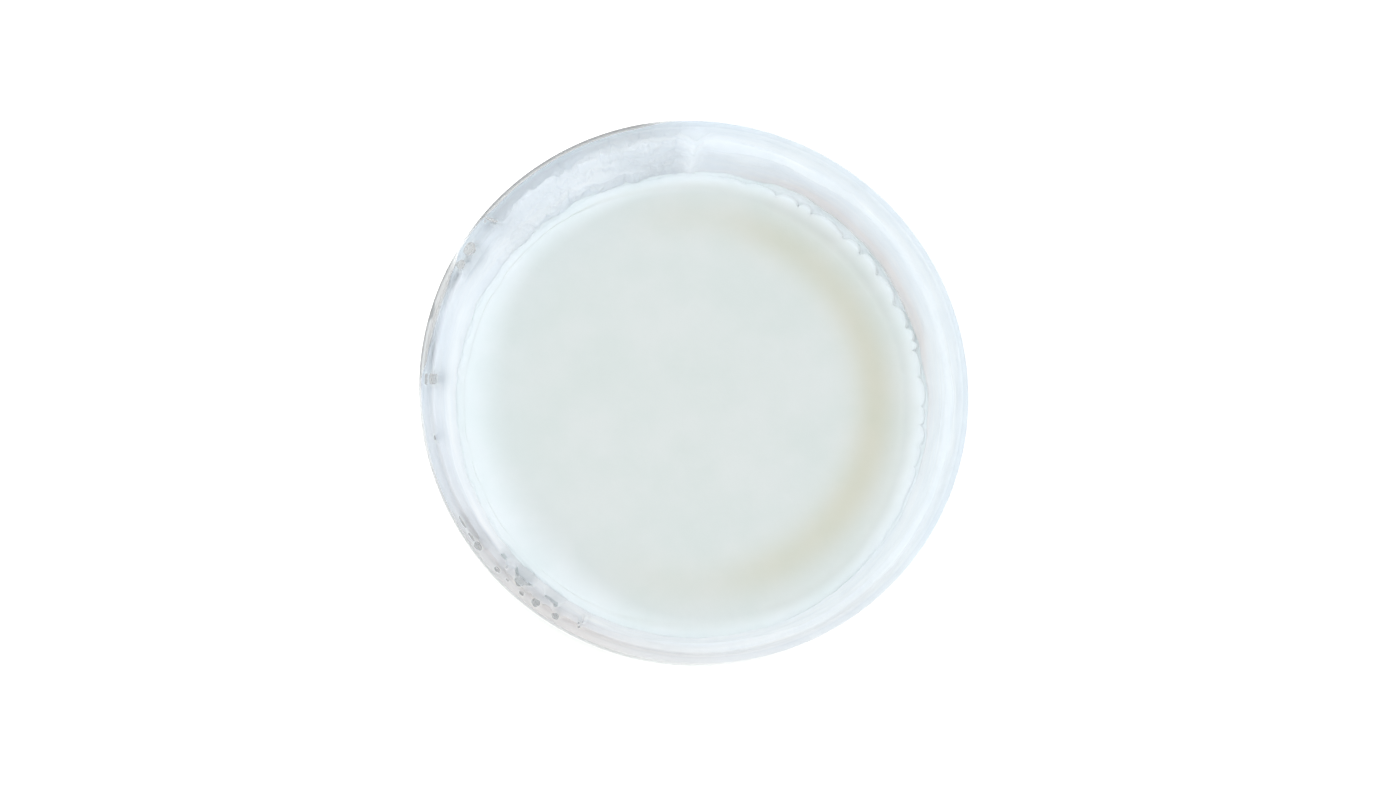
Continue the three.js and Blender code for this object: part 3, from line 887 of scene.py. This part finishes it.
def filling_material(colours):
    """Soft satin cream with faint clouds of tone and a fine grain, and painted shade and painted light in its
    tones.
    """
    material, nodes, links, output = nodes_of("frosting_filling")
    cream = nodes.new("ShaderNodeBsdfPrincipled")
    cream.inputs["Roughness"].default_value = FILLING_ROUGHNESS
    # The tones run from painted shade, through the cream's own colour, to painted light on the ridge
    tones = ((0.0, colours.painted_shade), (0.5, colours.frosting), (1.0, colours.edge))
    tone = ramp(nodes, links, attribute(nodes, "tone"), tones)
    cloud = ramp(nodes, links, noise(nodes, links, FILLING_CLOUD_SCALE, 3.0), FILLING_CLOUD)
    colour = multiply(nodes, links, tone, cloud)
    links.new(colour, cream.inputs["Base Color"])
    grain = bump(nodes, links, noise(nodes, links, FILLING_GRAIN[0]), FILLING_GRAIN[1])
    normal = bump(nodes, links, noise(nodes, links, FILLING_WAVES[0]), FILLING_WAVES[1], grain)
    links.new(normal, cream.inputs["Normal"])
    shine_through(nodes, links, cream, colour, output)
    return material


def smear_material(colours):
    """The same cream as a thin film, which light from outside shines through, with painted light and painted
    shade in its colours.
    """
    material, nodes, links, output = nodes_of("frosting_smear")
    cream = nodes.new("ShaderNodeBsdfPrincipled")
    cream.inputs["Roughness"].default_value = FILM_ROUGHNESS
    # The tones run from the lip's film, through a grey that is mostly painted shade, to the film's own colour
    tones = ((0.0, colours.lip_smear), (0.5, colours.grey_and_shaded_smear), (1.0, colours.smear))
    tone = ramp(nodes, links, attribute(nodes, "tone"), tones)
    warmth = ((0.0, (1.0, 1.0, 1.0)), (1.0, colours.warmth))
    warm = ramp(nodes, links, attribute(nodes, "warm"), warmth)
    tone = multiply(nodes, links, tone, warm)
    cloud = ramp(nodes, links, noise(nodes, links, FILM_CLOUD_SCALE, 3.0), FILM_CLOUD)
    colour = multiply(nodes, links, tone, cloud)
    streaks = ramp(nodes, links, noise(nodes, links, 1.0, squeeze=STREAK_SQUEEZE), FILM_STREAK)
    colour = multiply(nodes, links, colour, streaks)
    links.new(colour, cream.inputs["Base Color"])
    grain = bump(nodes, links, noise(nodes, links, FILM_GRAIN[0]), FILM_GRAIN[1])
    normal = bump(nodes, links, noise(nodes, links, FILM_WAVES[0], 3.0), FILM_WAVES[1], grain)
    froth = nodes.new("ShaderNodeMath")
    froth.operation = "MULTIPLY"
    links.new(noise(nodes, links, FROTH[0], 3.0, 0.6), froth.inputs[0])
    links.new(attribute(nodes, "foam"), froth.inputs[1])
    normal = bump(nodes, links, froth.outputs["Value"], FROTH[1], normal)
    links.new(normal, cream.inputs["Normal"])
    shine_through(nodes, links, cream, colour, output)
    return material


def plastic_material(colours):
    """Clear, faintly milky plastic, with painted shade where no frosting backs it: a grey milk for the dark
    seen through the holes and along the lip.
    """
    material, nodes, links, output = nodes_of("clear_plastic")
    clear = nodes.new("ShaderNodeBsdfTransparent")
    clear.inputs["Color"].default_value = CLEARNESS
    milk = nodes.new("ShaderNodeBsdfDiffuse")
    bare = attribute(nodes, "bare")
    tone = ramp(nodes, links, bare, ((0.0, colours.plastic), (1.0, colours.bare_plastic_painted_shade)))
    links.new(tone, milk.inputs["Color"])
    haze = between(nodes, links, bare, MILKINESS)
    body = nodes.new("ShaderNodeMixShader")
    links.new(haze, body.inputs["Fac"])
    links.new(clear.outputs["BSDF"], body.inputs[1])
    links.new(milk.outputs["BSDF"], body.inputs[2])
    gloss = nodes.new("ShaderNodeBsdfGlossy")
    gloss.inputs["Roughness"].default_value = PLASTIC_ROUGHNESS
    gloss.inputs["Color"].default_value = (1.0, 1.0, 1.0, 1.0)
    slant = nodes.new("ShaderNodeLayerWeight")
    slant.inputs["Blend"].default_value = 0.5
    steep = nodes.new("ShaderNodeMath")
    steep.operation = "POWER"
    steep.inputs[1].default_value = SLANT_POWER
    links.new(slant.outputs["Facing"], steep.inputs[0])
    coat = nodes.new("ShaderNodeMixShader")
    links.new(between(nodes, links, steep.outputs["Value"], PLASTIC_GLOSS), coat.inputs["Fac"])
    links.new(body.outputs["Shader"], coat.inputs[1])
    links.new(gloss.outputs["BSDF"], coat.inputs[2])
    links.new(coat.outputs["Shader"], output.inputs["Surface"])
    return material


class TubSizes(bpy.types.PropertyGroup):
    """Sizes that a user may change."""

    tub_columns: IntProperty(
        name="Tub columns", description="Columns of faces round the tub", default=720, min=48
    )
    fill_columns: IntProperty(
        name="Filling columns", description="Columns of faces round the filling", default=720, min=96
    )


class TubColours(bpy.types.PropertyGroup):
    """Colours that a user may change."""

    frosting: FloatVectorProperty(
        name="Frosting", description="Colour of the filling", subtype="COLOR", default=(0.755, 0.763, 0.745)
    )
    # painted shade: the olive colour of the flat's slope that faces away from the window
    painted_shade: FloatVectorProperty(
        name="Shade", description="Colour of the filling's shaded side", subtype="COLOR",
        default=(0.705, 0.67, 0.565),
    )
    # painted light: the whiter colour of the ridge's slopes that face the window
    edge: FloatVectorProperty(
        name="Edge", description="Colour of the filling's ridge", subtype="COLOR", default=(0.95, 0.97, 0.985)
    )
    # a lighter copy of the filling's cream: partly painted light, the film being brighter than the flat
    # middle, and partly making up for the light that goes through the thin film
    smear: FloatVectorProperty(
        name="Smear", description="Colour of the film on the wall", subtype="COLOR",
        default=(0.97, 0.985, 1.0),
    )
    # painted shade: the grey of the film on the wall facing away from the window and in the foam's creases;
    # it also greys the wall below the lid seat
    grey_and_shaded_smear: FloatVectorProperty(
        name="Cool smear", description="Colour of the film on its greyer side", subtype="COLOR",
        default=(0.88, 0.905, 0.935),
    )
    lip_smear: FloatVectorProperty(
        name="Lip smear", description="Colour of the film on the lip", subtype="COLOR",
        default=(0.925, 0.948, 0.975),
    )
    # the warm tint, also used as painted shade on the film's foot beside the crevice
    warmth: FloatVectorProperty(
        name="Warmth", description="What the film's colour is multiplied by where it is warmer",
        subtype="COLOR", default=(1.0, 0.905, 0.85),
    )
    plastic: FloatVectorProperty(
        name="Plastic", description="Milkiness of the plastic", subtype="COLOR", default=(0.8, 0.85, 0.88)
    )
    # painted shade: the grey stands for the dark surroundings seen through the bare plastic
    bare_plastic_painted_shade: FloatVectorProperty(
        name="Bare plastic", description="Plastic with no frosting behind", subtype="COLOR",
        default=(0.25, 0.25, 0.26),
    )
    floor: FloatVectorProperty(
        name="Floor", description="Colour of the floor", subtype="COLOR", default=(0.95, 0.95, 0.95)
    )


class FROSTINGTUB_OT_tub(bpy.types.Operator):
    """Makes the clear plastic tub."""

    bl_idname = "frosting_tub.tub"
    bl_label = "Tub"

    def execute(self, context):
        scene = context.scene
        coarse = spread(rounded(tub_section(), 2), TUB_STEP, TUB_STEP, 0.0)
        section = spread(coarse, TUB_FINE_STEP, TUB_STEP, TUB_FINE_FROM)
        angles = np.linspace(0, 360, scene.tub_sizes.tub_columns, endpoint=False)
        sections = np.broadcast_to(section, (len(angles), *section.shape))
        mesh = ring_mesh("tub_shell", angles, sections, False)
        angle, r, z = polar(mesh)
        store(mesh, "bare", bare_share(angle, r, z))
        add_piece("tub_shell", mesh, plastic_material(scene.tub_colours), "tub")
        return {"FINISHED"}


def bare_share(angle, r, z):
    """How bare the plastic is at each place, and so how much painted shade it gets: 1 in the patches and
    along the uncovered stretches of lip.
    """
    share = np.zeros_like(r)
    for patch in PATCHES:
        away = outside_patch(angle, r, z, patch, BARE_MARGIN)
        share = np.maximum(share, PATCH_SHOWS * (1 - clamp(away / BARE_FADE)))
    cover = around(LIP_COVER, angle)
    uncovered = (z > Forms(angle).film_top) & (cover < NO_COVER)
    share = np.maximum(share, uncovered)
    rim = LIP_RADIUS - LIP_WIDTH - GAP + cover - LIP_BARE_FADE
    on_lip = clamp((r - rim) / LIP_BARE_FADE) * clamp((z - (TUB_TOP - LIP_DROP)) / LIP_LOW_FADE)
    share = np.maximum(share, on_lip * around(LIP_SHOWS, angle))
    return np.where(z > BARE_FROM, share, 0.0)


def painted_ridge_light(angle, r):
    """How much painted light the cream has at each place: 1 at the ridge's edge, 0 in the flat middle."""
    width = around(PAINTED_LIGHT_WIDTH, angle)
    return around(PAINTED_LIGHT_LEVEL, angle) * ease(clamp((r - around(CREST_RADIUS, angle) + width) / width))


class FROSTINGTUB_OT_filling(bpy.types.Operator):
    """Makes the filling with its flat middle, its ridge and the crevice outside it."""

    bl_idname = "frosting_tub.filling"
    bl_label = "Filling"

    def execute(self, context):
        scene = context.scene
        angles = fill_angles(scene.tub_sizes.fill_columns)
        mesh = ring_mesh("frosting_filling", angles, fill_sections(angles), False)
        angle, r, z = polar(mesh)
        # Painted light on the ridge; the same mask sets how much light goes through the ridge
        painted_light = painted_ridge_light(angle, r)
        # Painted shade: an olive band on the flat's slope that faces away from the window
        painted_shade = around(PAINTED_SHADE, angle) * np.exp(-(((r - PAINTED_SHADE_RADIUS) / PAINTED_SHADE_SPREAD) ** 2))
        # Painted shade in the crevice outside the ridge
        crevice_shade = around(CREVICE_PAINTED_SHADE, angle) * clamp((r - Forms(angle).edge) / CREVICE_PAINTED_SHADE_SPREAD)
        store(mesh, "tone", 0.5 + 0.5 * painted_light - 0.5 * painted_shade * (1 - painted_light) - crevice_shade)
        wall = (r > wall_radius(z)) | (z < WALL_FOOT)
        store(mesh, "thin", np.maximum(painted_light * RIDGE_GLOW, wall * GLOW))
        add_piece("frosting_filling", mesh, filling_material(scene.tub_colours), "frosting")
        return {"FINISHED"}


class FROSTINGTUB_OT_smear(bpy.types.Operator):
    """Makes the smear on the wall and over the lip, with its bare patches."""

    bl_idname = "frosting_tub.smear"
    bl_label = "Smear"

    def execute(self, context):
        colours = context.scene.tub_colours
        angles = smear_angles()
        mesh = ring_mesh("frosting_smear", angles, smear_sections(angles), True)
        piece = add_piece("frosting_smear", mesh, smear_material(colours), "frosting")
        mesh = cut_patches(piece)
        angle, r, z = polar(mesh)
        forms = Forms(angle)
        foam = clamp(around(FOAM, angle))
        # The drip and the ripples are kept free of the grey and warm tones, as painted light along them
        drip = drip_share(angle)
        raised = clamp(forms.ripples(z) / RIPPLE_WHITE)
        above_foot = ease(clamp((z - forms.bottom - LIT_FOOT) / LIT_FOOT_FADE))
        near = np.zeros_like(r)
        for patch in PATCHES:
            away = outside_patch(angle, r, z, patch, GREY_MARGIN)
            near = np.maximum(near, 1 - clamp(away / GREY_FADE))

        # Greyer film: painted shade on the wall that faces away from the window, and a grey on the wall below
        # the lid seat
        low = around(LOW_COOL, angle) * ease(clamp((SEAT_LOW - z) / LOW_FADE))
        grey_and_shade = np.maximum(around(SHADED_SIDE, angle) * above_foot, low) * (1 - near) * (1 - drip)
        # Painted shade in the creases between the foam's bubbles
        crease_shade = ease(clamp(1 - CREASE_SHARPNESS * creased(angle, z, FOAM_CELLS)))
        grey_and_shade = np.maximum(grey_and_shade, foam * crease_shade)
        inner_lip = LIP_RADIUS - LIP_WIDTH - LIP_TONE_INWARD
        lip = ease(clamp((r - inner_lip) / LIP_TONE_INWARD_FADE))
        lip = lip * clamp((z - TUB_TOP + LIP_TONE_DOWN) / LIP_TONE_DOWN_FADE)
        store(mesh, "tone", (1 - 0.5 * grey_and_shade * (1 - raised)) * (1 - lip))

        # Painted shade: the film's foot is warmer beside the crevice
        crevice_warm_shade = around(CREVICE_WARM_SHADE, angle) * np.exp(-np.maximum(z - forms.top, 0.0) / CREVICE_WARM_SHADE_HEIGHT)
        on_seat = ease(clamp((z - SEAT_LOW + WARM_FADE / 2) / WARM_FADE))
        warm = around(WARM, angle) * mix(WARM_LOW, 1.0, on_seat)
        store(mesh, "warm", clamp(np.maximum(warm, crevice_warm_shade)) * (1 - raised))

        thin = mix(FOOT_GLOW, FILM_GLOW, above_foot) + around(SIDE_GLOW, angle)
        thin = thin + DRIP_GLOW * drip + RIPPLE_GLOW * raised
        store(mesh, "thin", mix(thin, PATCH_GLOW, near))
        store(mesh, "foam", foam)
        return {"FINISHED"}


def aim(obj, target):
    """Turns a light so that it shines on a place."""
    obj.rotation_euler = (Vector(target) - obj.location).to_track_quat("-Z", "Y").to_euler()


class FROSTINGTUB_OT_stage(bpy.types.Operator):
    """Makes the floor, the lights and the camera."""

    bl_idname = "frosting_tub.stage"
    bl_label = "Stage"

    def execute(self, context):
        scene = context.scene
        scene.view_settings.view_transform = "Standard"
        collection = scene.collection
        mesh = bpy.data.meshes.new("floor")
        corners = [(x * FLOOR_HALF, y * FLOOR_HALF, 0) for x, y in ((-1, -1), (1, -1), (1, 1), (-1, 1))]
        mesh.from_pydata(corners, [], [(0, 1, 2, 3)])
        floor = bpy.data.objects.new("floor", mesh)
        collection.objects.link(floor)
        material, nodes, links, output = nodes_of("floor")
        matt = nodes.new("ShaderNodeBsdfDiffuse")
        matt.inputs["Color"].default_value = (*scene.tub_colours.floor, 1.0)
        links.new(matt.outputs["BSDF"], output.inputs["Surface"])
        mesh.materials.append(material)

        world = bpy.data.worlds.new("studio")
        scene.world = world
        world.use_nodes = True
        background = world.node_tree.nodes["Background"]
        background.inputs["Color"].default_value = SKY
        background.inputs["Strength"].default_value = 1.0

        lit = bpy.data.collections.new("lit_by_window")
        for piece in [o for o in scene.objects if o.type == "MESH" and o is not floor]:
            lit.objects.link(piece)
        window = bpy.data.lights.new("window", "AREA")
        window.shape = "DISK"
        window.size = WINDOW_SIZE
        window.energy = WINDOW_POWER
        window.color = WINDOW_COLOUR
        key = bpy.data.objects.new("window", window)
        collection.objects.link(key)
        up, turn = math.radians(WINDOW_UP), math.radians(WINDOW_ROUND)
        way = Vector((math.cos(up) * math.cos(turn), math.cos(up) * math.sin(turn), math.sin(up)))
        key.location = Vector(WINDOW_AIM) + WINDOW_AWAY * way
        aim(key, WINDOW_AIM)
        key.light_linking.receiver_collection = lit

        ground = bpy.data.collections.new("lit_by_ceiling")
        ground.objects.link(floor)
        ceiling = bpy.data.lights.new("ceiling", "SUN")
        ceiling.energy = CEILING_STRENGTH
        ceiling.angle = math.radians(CEILING_SPREAD)
        above = bpy.data.objects.new("ceiling", ceiling)
        collection.objects.link(above)
        above.location = (0, 0, 1)
        above.light_linking.receiver_collection = ground

        camera = bpy.data.cameras.new("camera")
        camera.lens = LENS
        camera.sensor_width = SENSOR
        camera.clip_start = CLIP_START
        eye = bpy.data.objects.new("camera", camera)
        collection.objects.link(eye)
        eye.location = Vector(EYE) * MM
        back = (Vector(EYE) - Vector(AIM)).normalized()
        right = Vector((0, 1, 0)).cross(back).normalized()
        eye.rotation_euler = Matrix((right, back.cross(right), back)).transposed().to_euler()
        scene.camera = eye
        return {"FINISHED"}


class FROSTINGTUB_PT_panel(bpy.types.Panel):
    """Lists the steps in the order that they are run."""

    bl_idname = "FROSTINGTUB_PT_panel"
    bl_label = "Frosting tub"
    bl_space_type = "VIEW_3D"
    bl_region_type = "UI"
    bl_category = "Frosting tub"

    def draw(self, context):
        for step in STEPS:
            self.layout.operator(step.bl_idname)


STEPS = (FROSTINGTUB_OT_tub, FROSTINGTUB_OT_filling, FROSTINGTUB_OT_smear, FROSTINGTUB_OT_stage)
CLASSES = (TubSizes, TubColours, *STEPS, FROSTINGTUB_PT_panel)


def register():
    for cls in CLASSES:
        bpy.utils.register_class(cls)
    bpy.types.Scene.tub_sizes = PointerProperty(type=TubSizes)
    bpy.types.Scene.tub_colours = PointerProperty(type=TubColours)


def unregister():
    del bpy.types.Scene.tub_colours
    del bpy.types.Scene.tub_sizes
    for cls in reversed(CLASSES):
        bpy.utils.unregister_class(cls)


def main():
    register()
    bpy.ops.frosting_tub.tub()
    bpy.ops.frosting_tub.filling()
    bpy.ops.frosting_tub.smear()
    bpy.ops.frosting_tub.stage()


if __name__ == "__main__":
    main()
